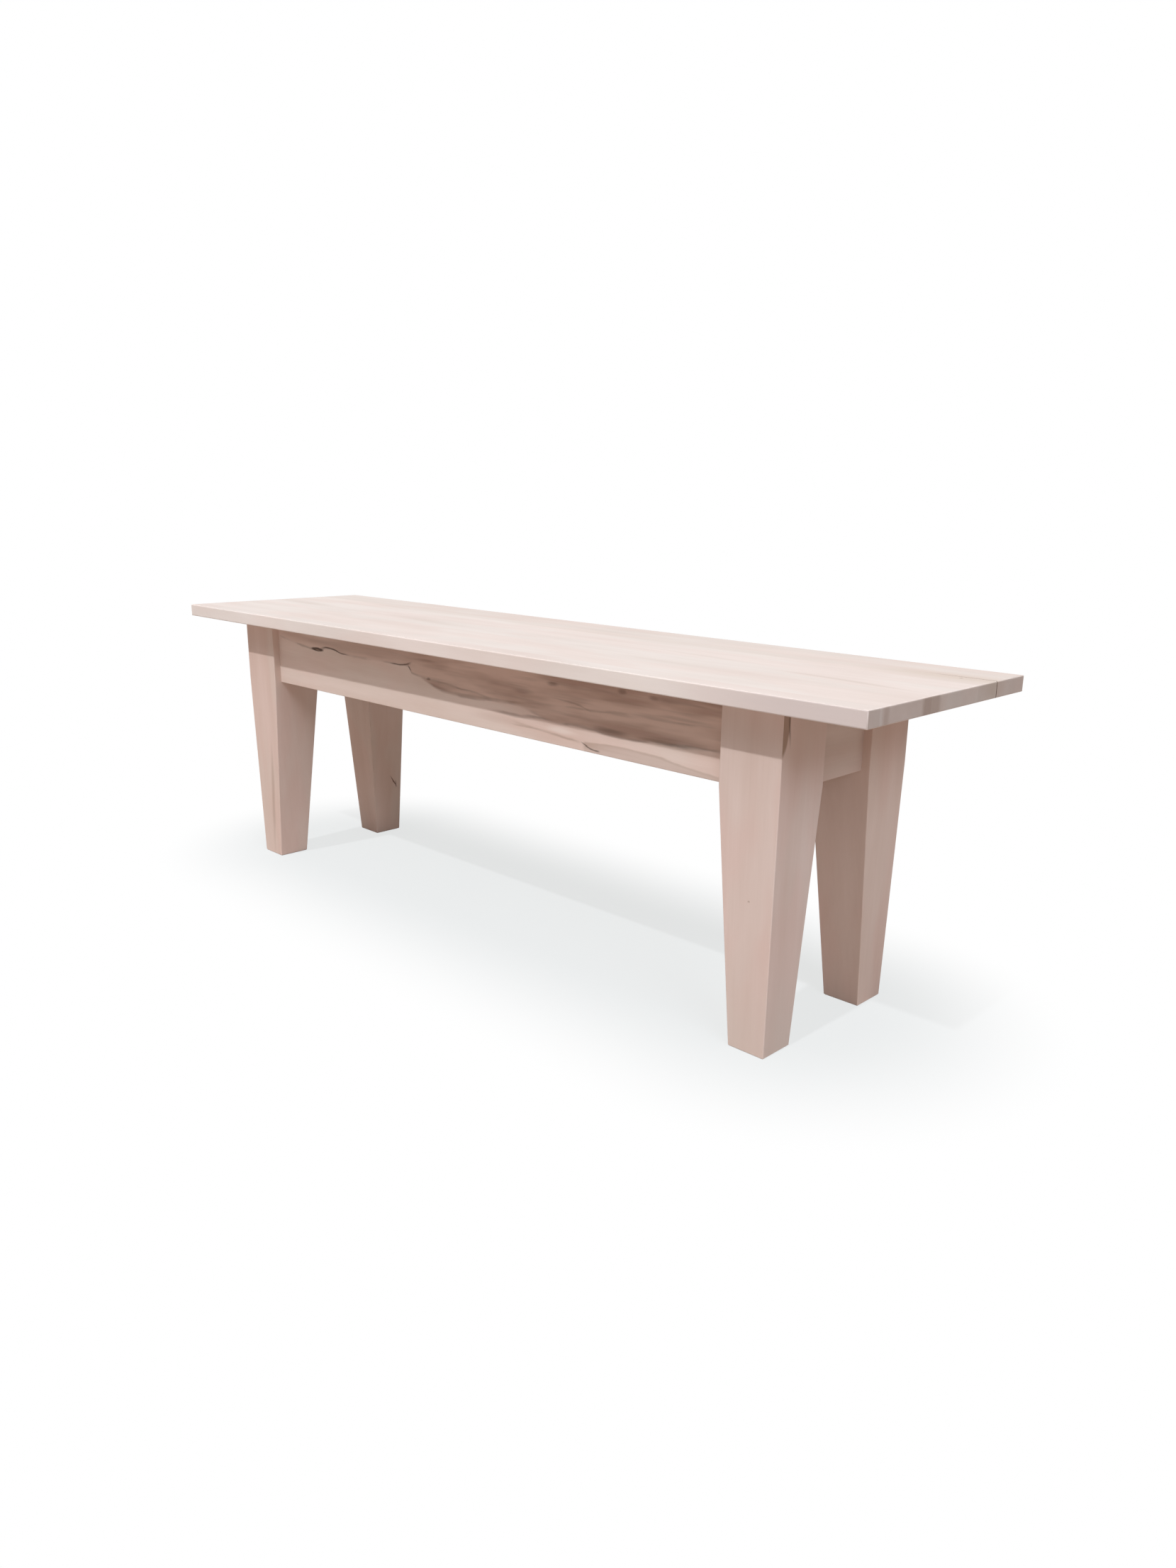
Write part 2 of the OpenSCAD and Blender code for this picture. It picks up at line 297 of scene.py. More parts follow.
@dataclass(frozen=True)
class WavyLine:
    """A dark line that wanders along the front, with the wood on one side of it tinted if asked.

    Its points are places along X and up Z, in order from left to right. It fades in and out over a
    length at its ends, and is broken up where it is patchy. The tint reaches its full strength
    past a start, is soft at the line, and is deeper in the streaks of the wood.
    """

    HEADROOM: ClassVar[float] = 0.01
    BROKEN_EDGE: ClassVar[Edge] = (0.42, 0.60)
    STREAK_EDGE: ClassVar[Edge] = (0.40, 0.62)
    FINE_EDGE: ClassVar[Edge] = (0.48, 0.74)
    FINE_SHARE: ClassVar[float] = 0.26
    EARLY_SHARE: ClassVar[float] = 0.62
    START_REACH: ClassVar[float] = 0.10

    points: Route
    width: float
    strength: float
    line_colour: Colour = DARK_LINE
    patchy: float = 0.0
    fade: float = 0.04
    side: Side = Side.NEITHER
    tint: Colour = SOFT_STREAK
    tint_deep: Colour = BROWN_STREAK
    tint_strength: float = 0.0
    tint_start: float = 0.0
    tint_soft: float = 0.006

    def height_above(self, sheet: NodeSheet, x: Socket, z: Socket) -> Socket:
        """Measures how far a place is above the line.

        Args:
            sheet: the nodes to add to.
            x: the place along X.
            z: the place up Z.

        Returns:
            The height's socket, which is negative below the line.
        """
        left, right = self.points[0][0], self.points[-1][0]
        heights = [point[1] for point in self.points]
        low, high = min(heights) - self.HEADROOM, max(heights) + self.HEADROOM
        share = sheet.node("MapRange", {0: x, 1: left, 2: right, 3: 0.0, 4: 1.0}).outputs[0]
        points = [((a - left) / (right - left), (b - low) / (high - low)) for a, b in self.points]
        height = sheet.math("MULTIPLY_ADD", sheet.curve(share, points), high - low, low)
        return sheet.math("SUBTRACT", z, height)

    def tint_side(self, wood: Surface, colour: Socket, x: Socket, above: Socket, started: Socket) -> Socket:
        """Tints the wood on the line's side.

        Args:
            wood: the surface that it is laid on.
            colour: the colour so far.
            x: the place along X.
            above: the height above the line.
            started: the share of the line's strength near its left end.

        Returns:
            The new colour.
        """
        sheet = wood.sheet
        edge = self.tint_soft * self.side.value
        amount = sheet.ramp(above, -edge, edge, 0.0, self.tint_strength)
        early, late = self.tint_start - self.START_REACH, self.tint_start + self.START_REACH
        reach = sheet.ramp(x, early, late, self.EARLY_SHARE, 1.0)
        tint = sheet.mix(sheet.ramp(wood.streak, *self.STREAK_EDGE), self.tint, self.tint_deep)
        tint = sheet.mix(sheet.ramp(wood.fine, *self.FINE_EDGE, 0.0, self.FINE_SHARE), tint, self.line_colour)
        amount = sheet.math("MULTIPLY", sheet.math("MULTIPLY", amount, reach), started)
        return sheet.mix(amount, colour, tint)

    def lay(self, wood: Surface, colour: Socket) -> Socket:
        """Mixes the line and its tint into a colour.

        Args:
            wood: the surface that it is laid on.
            colour: the colour so far.

        Returns:
            The new colour.
        """
        sheet = wood.sheet
        left, right = self.points[0][0], self.points[-1][0]
        x, _, z = sheet.split(wood.place)
        above = self.height_above(sheet, x, z)
        started = sheet.ramp(x, left, left + self.fade)
        if self.side is not Side.NEITHER:
            colour = self.tint_side(wood, colour, x, above, started)
        near = sheet.ramp(sheet.math("ABSOLUTE", above), 0.0, self.width, self.strength, 0.0)
        ends = sheet.math("MULTIPLY", started, sheet.ramp(x, right - self.fade, right, 1.0, 0.0))
        broken = sheet.ramp(wood.patches, *self.BROKEN_EDGE, 1.0 - self.patchy, 1.0)
        amount = sheet.math("MULTIPLY", sheet.math("MULTIPLY", near, ends), broken)
        return sheet.mix(amount, colour, self.line_colour)


Mark = Union[Blotch, WavyLine]


# ---------------- finishes


@dataclass(frozen=True)
class LimedMaple:
    """Maple under a matt limed finish, whose grain runs through the solid, so end grain shows at its ends.

    The noises are read along, across and through the grain, and the rings' out from the pith.
    """

    WANDER: ClassVar[Noise] = Noise((0.9, 4.0, 4.0))
    RINGS: ClassVar[Noise] = Noise((165.0, 1.0, 0.5), rough=0.45)
    FIBRE: ClassVar[Noise] = Noise((9.0, 420.0, 420.0), rough=0.55)
    STREAK: ClassVar[Noise] = Noise((2.4, 19.0, 19.0), detail=3.0, rough=0.55)
    CLOUD: ClassVar[Noise] = Noise((3.2, 3.2, 3.2))
    BLUSH: ClassVar[Noise] = Noise((2.6, 8.0, 8.0))
    FRAY: ClassVar[Noise] = Noise((14.0, 75.0, 75.0), detail=3.0, rough=0.6)
    PATCHES: ClassVar[Noise] = Noise((11.0, 9.0, 9.0), detail=1.0)
    FINE: ClassVar[Noise] = Noise((4.0, 75.0, 75.0), rough=0.6)

    SEED_SPREAD: ClassVar[Point] = (1.0, 0.37, 0.61)
    WANDER_REACH: ClassVar[float] = 0.035
    STREAK_SHARE: ClassVar[float] = 2.3
    FIBRE_SHARE: ClassVar[float] = 0.5
    CLOUD_SHARE: ClassVar[float] = 1.1
    BLUSH_OFFSET: ClassVar[Point] = (5.0, 2.0, 9.0)
    BLUSH_EDGE: ClassVar[Edge] = (0.44, 0.60)
    FRAY_REACH: ClassVar[float] = 0.008
    END_EDGE: ClassVar[Edge] = (0.55, 0.95)
    ROUGHNESS_SPREAD: ClassVar[float] = 0.16
    RING_RELIEF: ClassVar[float] = 0.35
    RELIEF_STRENGTH: ClassVar[float] = 0.10
    RELIEF_DEPTH: ClassVar[float] = 0.0006
    GLOSS: ClassVar[float] = 0.28

    name: str
    pale: Colour
    deep: Colour
    grain: Grain
    seed: float
    pith: tuple[float, float]
    figure: float
    ring_share: float = 0.45
    blush: Colour = (1.0, 0.955, 0.95)
    end_shade: Colour = (0.70, 0.66, 0.64)
    roughness: float = 0.62
    marks: tuple[Mark, ...] = ()

    def rings(self, sheet: NodeSheet, own: Socket, along: Socket, across: Socket, through: Socket) -> Socket:
        """Makes growth rings round the pith, which wanders as it goes.

        Args:
            sheet: the material's nodes.
            own: the place in this piece's own part of the tree.
            along: the place along the grain.
            across: the place across it.
            through: the place through it.

        Returns:
            The rings' socket.
        """
        wander = self.WANDER.read(sheet, own)
        wander = sheet.math("MULTIPLY_ADD", wander, 2.0 * self.WANDER_REACH, -self.WANDER_REACH)
        side = sheet.math("ADD", sheet.math("SUBTRACT", across, self.pith[0]), wander)
        depth = sheet.math("ADD", sheet.math("SUBTRACT", through, self.pith[1]), wander)
        radius = sheet.number("LENGTH", sheet.join(0.0, side, depth))
        return self.RINGS.read(sheet, sheet.join(radius, self.seed, along))

    def relief(self, sheet: NodeSheet, rings: Socket, fibre: Socket) -> Socket:
        """Makes the slight relief that the rings and fibres give to the surface.

        Args:
            sheet: the material's nodes.
            rings: the growth rings.
            fibre: the fibres.

        Returns:
            The normal's socket.
        """
        height = sheet.math("MULTIPLY_ADD", rings, self.RING_RELIEF, fibre)
        inputs = {"Strength": self.RELIEF_STRENGTH, "Distance": self.RELIEF_DEPTH, "Height": height}
        return sheet.node("Bump", inputs).outputs[0]

    def material(self) -> bpy.types.Material:
        """Makes the material.

        Returns:
            The finished material.
        """
        material = bpy.data.materials.new(self.name)
        sheet = NodeSheet(material)
        where = sheet.node("TexCoord", {})
        place, normal = where.outputs["Object"], where.outputs["Normal"]
        parts = sheet.split(place)
        along, across, through = (parts[axis] for axis in self.grain.value)
        offset = tuple(self.seed * share for share in self.SEED_SPREAD)
        own = sheet.vector("ADD", sheet.join(along, across, through), offset)

        # rings, fibres, broad soft streaks, and the cloudiness of the lime
        rings = self.rings(sheet, own, along, across, through)
        fibre = self.FIBRE.read(sheet, own)
        streak = self.STREAK.read(sheet, own)
        cloud = self.CLOUD.read(sheet, own)
        depth: Value = 0.5
        patterns = (
            (streak, self.STREAK_SHARE),
            (rings, self.ring_share),
            (fibre, self.FIBRE_SHARE),
            (cloud, self.CLOUD_SHARE),
        )
        for pattern, share in patterns:
            depth = sheet.math("MULTIPLY_ADD", sheet.math("SUBTRACT", pattern, 0.5), share, depth)
        depth = sheet.math("MULTIPLY_ADD", sheet.math("SUBTRACT", depth, 0.5), self.figure, 0.5, clamp=True)
        colour = sheet.mix(depth, self.pale, self.deep)

        # a pink blush that comes and goes along the wood
        pink = self.BLUSH.read(sheet, sheet.vector("ADD", own, self.BLUSH_OFFSET))
        colour = sheet.wash(sheet.ramp(pink, *self.BLUSH_EDGE), colour, self.blush)

        # marks, with edges that follow the grain unevenly
        fray = sheet.vector("SUBTRACT", self.FRAY.node(sheet, own).outputs["Color"], (0.5, 0.5, 0.5))
        frayed = sheet.vector("ADD", place, sheet.vector("MULTIPLY", fray, (self.FRAY_REACH,) * 3))
        fine, patches = self.FINE.read(sheet, own), self.PATCHES.read(sheet, own)
        wood = Surface(sheet, frayed, normal, streak, fine, patches)
        for mark in self.marks:
            colour = mark.lay(wood, colour)

        # end grain drinks in more of the finish
        facing = sheet.math("ABSOLUTE", sheet.split(normal)[self.grain.value[0]])
        colour = sheet.wash(sheet.ramp(facing, *self.END_EDGE), colour, self.end_shade)

        least = self.roughness - self.ROUGHNESS_SPREAD / 2.0
        inputs = {
            "Base Color": colour,
            "Roughness": sheet.math("MULTIPLY_ADD", fibre, self.ROUGHNESS_SPREAD, least),
            "Specular IOR Level": self.GLOSS,
            "Normal": self.relief(sheet, rings, fibre),
        }
        surface = sheet.node("BsdfPrincipled", inputs)
        sheet.node("OutputMaterial", {"Surface": surface.outputs[0]})
        return material


@dataclass(frozen=True)
class ZincSteel:
    """Bright zinc plating on small steel parts, a little cloudy and scratched by the driver."""

    CLOUD: ClassVar[Noise] = Noise((160.0, 160.0, 160.0), detail=3.0, rough=0.6)
    SCRATCH: ClassVar[Noise] = Noise((300.0, 2400.0, 900.0))
    CLOUD_EDGE: ClassVar[Edge] = (0.35, 0.65)
    ROUGHNESS_SPREAD: ClassVar[float] = 0.25
    RELIEF_STRENGTH: ClassVar[float] = 0.15
    RELIEF_DEPTH: ClassVar[float] = 0.0001

    name: str = "zinc_plate"
    bright: Colour = (0.66, 0.67, 0.69)
    dull: Colour = (0.46, 0.47, 0.50)
    least_roughness: float = 0.22

    def material(self) -> bpy.types.Material:
        """Makes the material.

        Returns:
            The finished material.
        """
        material = bpy.data.materials.new(self.name)
        sheet = NodeSheet(material)
        place = sheet.node("TexCoord", {}).outputs["Object"]
        cloud = sheet.ramp(self.CLOUD.read(sheet, place), *self.CLOUD_EDGE)
        scratch = self.SCRATCH.read(sheet, place)
        relief = {"Strength": self.RELIEF_STRENGTH, "Distance": self.RELIEF_DEPTH, "Height": scratch}
        inputs = {
            "Base Color": sheet.mix(cloud, self.bright, self.dull),
            "Roughness": sheet.math("MULTIPLY_ADD", scratch, self.ROUGHNESS_SPREAD, self.least_roughness),
            "Metallic": 1.0,
            "Normal": sheet.node("Bump", relief).outputs[0],
        }
        surface = sheet.node("BsdfPrincipled", inputs)
        sheet.node("OutputMaterial", {"Surface": surface.outputs[0]})
        return material


# ---------------- workshop


class Bench:
    """What a piece goes through: it is taken off the frame, eased, smoothed, dressed and handed over."""

    MERGE: ClassVar[float] = 0.00001
    FLAT: ClassVar[float] = math.radians(0.4)
    SMOOTH: ClassVar[float] = math.radians(40.0)
    EASE_STEPS: ClassVar[int] = 3
    FACE_WEIGHT: ClassVar[int] = 100

    @staticmethod
    def only(piece: bpy.types.Object) -> None:
        """Leaves one object selected and active.

        Args:
            piece: the object.
        """
        bpy.ops.object.select_all(action="DESELECT")
        piece.select_set(True)
        bpy.context.view_layer.objects.active = piece

    @classmethod
    def take(cls, node: str, name: str) -> bpy.types.Object:
        """Copies a node of the frame and makes one clean shell of each of its solids.

        Args:
            node: the node's name.
            name: the new piece's name.

        Returns:
            The new piece, with its place in its mesh.
        """
        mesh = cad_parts[node].data.copy()
        mesh.name = name
        mesh.materials.clear()
        piece = bpy.data.objects.new(name, mesh)
        bpy.context.scene.collection.objects.link(piece)
        cls.only(piece)
        bpy.ops.mesh.customdata_custom_splitnormals_clear()
        bpy.ops.object.mode_set(mode="EDIT")
        bpy.ops.mesh.select_all(action="SELECT")
        bpy.ops.mesh.remove_doubles(threshold=cls.MERGE)
        bpy.ops.mesh.dissolve_limited(angle_limit=cls.FLAT)
        bpy.ops.object.mode_set(mode="OBJECT")
        return piece

    @classmethod
    def ease(cls, piece: bpy.types.Object, chosen: Callable[[Vector, Vector], bool], size: float) -> int:
        """Rounds the edges that a test chooses.

        Args:
            piece: the piece to work on.
            chosen: says whether an edge is rounded, from its two ends.
            size: how far the rounding reaches from the edge.

        Returns:
            The number of edges rounded.
        """
        cls.only(piece)
        bpy.ops.object.mode_set(mode="EDIT")
        bpy.ops.mesh.select_mode(type="EDGE")
        bpy.ops.mesh.select_all(action="DESELECT")
        bpy.ops.object.mode_set(mode="OBJECT")
        spots = piece.data.vertices
        count = 0
        for edge in piece.data.edges:
            edge.select = chosen(spots[edge.vertices[0]].co, spots[edge.vertices[1]].co)
            count += edge.select
        bpy.ops.object.mode_set(mode="EDIT")
        bpy.ops.mesh.bevel(offset=size, segments=cls.EASE_STEPS, affect="EDGES", clamp_overlap=True)
        bpy.ops.object.mode_set(mode="OBJECT")
        return count

    @classmethod
    def smooth(cls, piece: bpy.types.Object) -> None:
        """Shades rounded arrises smoothly and keeps flat faces flat.

        Args:
            piece: the piece to work on.
        """
        cls.only(piece)
        bpy.ops.object.shade_smooth_by_angle(angle=cls.SMOOTH)
        bpy.ops.object.modifier_add(type="WEIGHTED_NORMAL")
        weighted = piece.modifiers[-1]
        weighted.keep_sharp = True
        weighted.weight = cls.FACE_WEIGHT
        bpy.ops.object.modifier_apply(modifier=weighted.name)

    @staticmethod
    def dress(piece: bpy.types.Object, material: bpy.types.Material) -> None:
        """Gives a piece one material."""
        piece.data.materials.clear()
        piece.data.materials.append(material)

    @staticmethod
    def hand_over(piece: bpy.types.Object, node: str, slot: str) -> None:
        """Makes a finished piece ride on the table in place of its node.

        Args:
            piece: the finished piece.
            node: the node that it stands for.
            slot: the record's material slot, which is not used.
        """
        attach(piece, BODY)
        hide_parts(node)


# ---------------- sub-assemblies


@dataclass
class WoodenPieces:
    """A sub-assembly whose pieces are each taken off the frame, worked, dressed and handed over."""

    SLOT: ClassVar[str]
    ENDING: ClassVar[str] = "_planed"

    pieces: list[bpy.types.Object] = field(default_factory=list)

    def finishes(self) -> dict[str, LimedMaple]:
        """Chooses the wood, which each sub-assembly does for itself.

        Returns:
            A finish for each piece's node.
        """
        raise NotImplementedError

    def work(self, piece: bpy.types.Object, node: str) -> None:
        """Shapes a piece further, which most don't need."""

    def build(self) -> None:
        """Makes and dresses every piece."""
        for node, finish in self.finishes().items():
            piece = Bench.take(node, node + self.ENDING)
            self.work(piece, node)
            Bench.smooth(piece)
            Bench.dress(piece, finish.material())
            Bench.hand_over(piece, node, self.SLOT)
            self.pieces.append(piece)


@dataclass
class TableTop(WoodenPieces):
    """The five boards of the top, glued edge to edge, with one joint that has opened at the right end."""

    SLOT: ClassVar[str] = "top_maple"
    STREAK_DEPTH: ClassVar[float] = 0.03
    STRIPE_DEPTH: ClassVar[float] = 0.05
    STRIPE_RISE: ClassVar[float] = 0.08
    GAP_RADII: ClassVar[Point] = (0.16, 0.010, 0.06)

    end_x: float = 1.2
    front_y: float = -0.3
    open_joint_y: float = 0.177
    core_z: float = 0.745
    skin_z: float = 0.755
    face_z: float = 0.762
    figure: float = 0.75
    ring_share: float = 0.12
    pale: Colour = (0.85, 0.762, 0.710)
    deep: Colour = (0.775, 0.676, 0.620)
    blush: Colour = (1.0, 0.968, 0.962)
    darker_front_end: Colour = (0.66, 0.565, 0.54)
    rust: Colour = (0.68, 0.55, 0.46)
    dusk: Colour = (0.74, 0.64, 0.575)
    pale_end: Colour = (0.95, 0.88, 0.84)

    def board(
        self, name: str, seed: float, pith: tuple[float, float], end_shade: Colour,
        marks: tuple[Mark, ...], shade: Colour = AS_IT_IS,
    ) -> LimedMaple:
        """Describes one board.

        Args:
            name: its place in the top.
            seed: which part of the tree it comes from.
            pith: where the tree's middle runs, across the table and up.
            end_shade: how much its end grain darkens.
            marks: its own marks.
            shade: its tone beside the other boards.

        Returns:
            The board's finish.
        """
        wood = (shaded(self.pale, shade), shaded(self.deep, shade))
        look = (self.figure, self.ring_share, self.blush, end_shade)
        marks = marks + self.open_joint_walls()
        return LimedMaple(f"maple_{name}_board", *wood, Grain.ALONG_X, seed, pith, *look, marks=marks)

    def open_joint_walls(self) -> tuple[Blotch, ...]:
        """Describes the dark walls of the opened joint: painted shade inside the narrow gap, with some dirt.

        Returns:
            A mark for each wall.
        """
        # painted shade: the gap's walls are darkened for the shade inside it, and for the dirt that gathers
        # there
        centre = (self.end_x, self.open_joint_y, self.core_z)
        return tuple(Blotch(centre, self.GAP_RADII, KNOT_AND_GAP_SHADE, core=0.8, facing=way) for way in (BACK, FRONT))

    def streak(
        self, x: float, y: float, length: float, width: float, strength: float, turn: float = -4.0
    ) -> Blotch:
        """Describes a soft streak on the top face.

        Args:
            x: its middle along X.
            y: its middle along Y.
            length: half its length.
            width: half its width.
            strength: how strong it is.
            turn: how far it is turned about Z, in degrees.

        Returns:
            The mark.
        """
        centre, radii = (x, y, self.skin_z), (length, width, self.STREAK_DEPTH)
        return Blotch(centre, radii, SOFT_STREAK, strength, (0.0, 0.0, turn), core=0.0, facing=UP)

    def end_stripe(
        self, y: float, width: float, strength: float, colour: Colour = BROWN_STREAK, core: float = 0.2
    ) -> Blotch:
        """Describes an upright stripe on the right end.

        Args:
            y: its middle along Y.
            width: half its width.
            strength: how strong it is.
            colour: its colour.
            core: the share of it that has its full strength.

        Returns:
            The mark.
        """
        centre, radii = (self.end_x, y, self.core_z), (self.STRIPE_DEPTH, width, self.STRIPE_RISE)
        return Blotch(centre, radii, colour, strength, core=core, facing=RIGHT)

    def finishes(self) -> dict[str, LimedMaple]:
        """Chooses the boards, each from its own part of the tree.

        Returns:
            A finish for each board's node.
        """
        corner = (self.end_x, self.front_y, self.core_z)
        # darkens the front edge of the front board towards its right end
        dull = Blotch(corner, (0.55, 0.006, 0.07), self.darker_front_end, 0.75, core=0.3, facing=FRONT)
        rust = Blotch((1.12, 0.165, self.skin_z), (0.30, 0.075, 0.05), self.rust, 0.58, core=0.1)
        dusk = Blotch((0.30, 0.245, self.skin_z), (1.8, 0.125, 0.06), self.dusk, 0.42, core=0.86)
        knot = Blotch((1.133, 0.160, self.face_z), (0.006, 0.004, 0.006), KNOT_AND_GAP_SHADE, 0.9, core=0.1)
        front = (self.end_stripe(-0.258, 0.006, 0.5, self.pale_end), dull)
        front_inner = (
            self.streak(0.58, -0.12, 0.22, 0.020, 0.25),
            self.end_stripe(-0.241, 0.014, 0.30),
            self.end_stripe(-0.096, 0.026, 0.50, core=0.4),
        )
        middle = (
            self.streak(1.02, -0.048, 0.20, 0.016, 0.62, turn=-6.0),
            self.streak(0.90, -0.040, 0.10, 0.010, 0.45),
            self.streak(0.60, 0.015, 0.26, 0.020, 0.30),
            self.streak(-0.38, -0.018, 0.26, 0.040, 0.42),
            self.streak(-1.02, 0.010, 0.24, 0.042, 0.38),
            self.end_stripe(-0.070, 0.026, 0.42, core=0.4),
        )
        back_inner = (self.streak(-0.78, 0.150, 0.16, 0.020, 0.4), dusk, rust, knot)
        return {
            "top_board_front": self.board("front", 3.1, (-0.27, 0.66), (0.66, 0.625, 0.61), front),
            "top_board_front_inner": self.board(
                "front_inner", 7.4, (-0.16, 0.62), (0.675, 0.64, 0.625), front_inner, (1.0, 0.998, 0.996)
            ),
            "top_board_middle": self.board("middle", 11.9, (0.02, 0.60), (0.675, 0.64, 0.62), middle),
            "top_board_back_inner": self.board(
                "back_inner", 15.2, (0.13, 0.65), (0.67, 0.635, 0.615), back_inner, (1.0, 0.996, 0.992)
            ),
            "top_board_back": self.board(
                "back", 19.7, (0.25, 0.61), (0.70, 0.655, 0.64), (rust,), (0.955, 0.9454, 0.9359)
            ),
        }


@dataclass
class Legs(WoodenPieces):
    """The four tapered posts, plumb beside the aprons, with their long arrises eased."""

    SLOT: ClassVar[str] = "leg_maple"
    ENDING: ClassVar[str] = "_eased"
    CORNER_TOLERANCE: ClassVar[float] = 0.0006
    UPRIGHT_SHARE: ClassVar[float] = 0.9
    SHORTEST_EDGE: ClassVar[float] = 0.02

    width: float = 0.147
    foot: float = 0.091
    lean: float = 0.009
    taper_top: float = 0.554
    foot_bevel: float = 0.0025
    arris: float = 0.002
    end_x: float = 0.986
    figure: float = 0.42
    pale: Colour = (0.79, 0.645, 0.58)
    deep: Colour = (0.665, 0.505, 0.43)
    crack: Colour = (0.16, 0.075, 0.05)
    wedge: Colour = (0.36, 0.235, 0.17)
    # brow: painted shade that the top's overhang casts on the upper right face of the front right post
    brow: Colour = (0.60, 0.445, 0.375)
    foot_tone: Colour = (0.62, 0.515, 0.45)

    def post(
        self, name: str, seed: float, pith: tuple[float, float], shade: Colour, marks: tuple[Mark, ...] = ()
    ) -> LimedMaple:
        """Describes one post.

        Args:
            name: its corner of the table.
            seed: which part of the tree it comes from.
            pith: where the tree's middle runs, along X and Y.
            shade: its tone beside the other posts.
            marks: its own marks.

        Returns:
            The post's finish.
        """
        wood = (shaded(self.pale, shade), shaded(self.deep, shade))
        return LimedMaple(f"maple_{name}_post", *wood, Grain.ALONG_Z, seed, pith, self.figure, marks=marks)

    def crack_marks(self) -> tuple[Blotch, ...]:
        """Describes the crack low on the back left post, and the brown streak beside it.

        Returns:
            The marks.
        """
        return (
            Blotch((-0.869, 0.198, 0.172), (0.03, 0.0030, 0.034), self.crack, 0.95, (34.0, 0.0, 0.0)),
            Blotch((-0.869, 0.207, 0.162), (0.03, 0.0016, 0.018), DARK_LINE, 0.9, (4.0, 0.0, 0.0)),
            Blotch((-0.900, 0.105, 0.060), (0.06, 0.010, 0.090), BROWN_STREAK, 0.6),
        )

    def front_right_marks(self) -> tuple[Blotch, ...]:
        """Describes the front right post: its brow of painted overhang shade, dark wedge with its core, pip
        and darker foot.

        Returns:
            The marks.
        """
        end = self.end_x
        return (
            # painted shade: the brow darkens the upper right face, where the top's overhang shades it
            Blotch((end, -0.150, 0.760), (0.05, 0.140, 0.210), self.brow, 0.75, core=0.25, facing=RIGHT),
            Blotch((end, -0.238, 0.750), (0.02, 0.031, 0.125), self.wedge, 0.9, core=0.88, facing=RIGHT),
            Blotch((end, -0.214, 0.690), (0.02, 0.005, 0.050), DARK_LINE, 0.60, (8.0, 0.0, 0.0), 0.1, RIGHT),
            Blotch((0.925, -0.232, 0.330), (0.004, 0.02, 0.003), BROWN_STREAK, 0.7),
            # darkens the foot of the post towards the floor
            Blotch((0.931, -0.180, -0.02), (0.14, 0.14, 0.32), self.foot_tone, 0.75, core=0.1),
        )

    def finishes(self) -> dict[str, LimedMaple]:
        """Chooses the posts.

        Returns:
            A finish for each leg's node.
        """
        run = Blotch((-0.906, -0.226, 0.190), (0.012, 0.03, 0.230), BROWN_STREAK, 0.45, (0.0, 5.0, 0.0))
        brown, crack = self.front_right_marks(), self.crack_marks()
        return {
            "leg_front_left": self.post("front_left", 2.3, (-1.06, -0.29), (0.97, 0.96, 0.95), (run,)),
            "leg_front_right": self.post("front_right", 5.8, (0.99, -0.33), (0.97, 0.97, 0.98), brown),
            "leg_back_left": self.post("back_left", 9.1, (-1.03, 0.26), (0.99, 1.0, 0.99), crack),
            "leg_back_right": self.post("back_right", 13.6, (0.84, 0.28), (0.92, 0.89, 0.87)),
        }

    def on_corner(self, outer: tuple[float, float], spot: Vector) -> bool:
        """Tells whether a place is on one of a leg's four corners at its height.

        Args:
            outer: where the leg's two outer faces are at the top, along X and Y.
            spot: the place.

        Returns:
            Whether it is on a corner.
        """
        down = (self.taper_top - spot.z) / (self.taper_top - self.foot_bevel)
        down = min(max(down, 0.0), 1.0)
        faces = (self.lean * down, self.width - (self.width - self.lean - self.foot) * down)
        insets = (abs(outer[0] - spot.x), abs(outer[1] - spot.y))
        return all(min(abs(inset - face) for face in faces) < self.CORNER_TOLERANCE for inset in insets)

    def is_arris(self, outer: tuple[float, float], first: Vector, second: Vector) -> bool:
        """Tells whether an edge is part of one of a leg's four long arrises.

        Args:
            outer: where the leg's two outer faces are at the top, along X and Y.
            first: one end of the edge.
            second: its other end.

        Returns:
            Whether it is.
        """
        span = second - first
        upright = abs(span.z) > self.UPRIGHT_SHARE * span.length and span.length > self.SHORTEST_EDGE
        return upright and self.on_corner(outer, first) and self.on_corner(outer, second)

    def work(self, piece: bpy.types.Object, node: str) -> None:
        """Eases a leg's long arrises.

        Args:
            piece: the leg.
            node: its node.
        """
        low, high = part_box(node)
        outer = (high.x if high.x > 0 else low.x, high.y if high.y > 0 else low.y)
        count = Bench.ease(piece, partial(self.is_arris, outer), self.arris)
        LOG.info("%s: %d lengths of arris eased", piece.name, count)


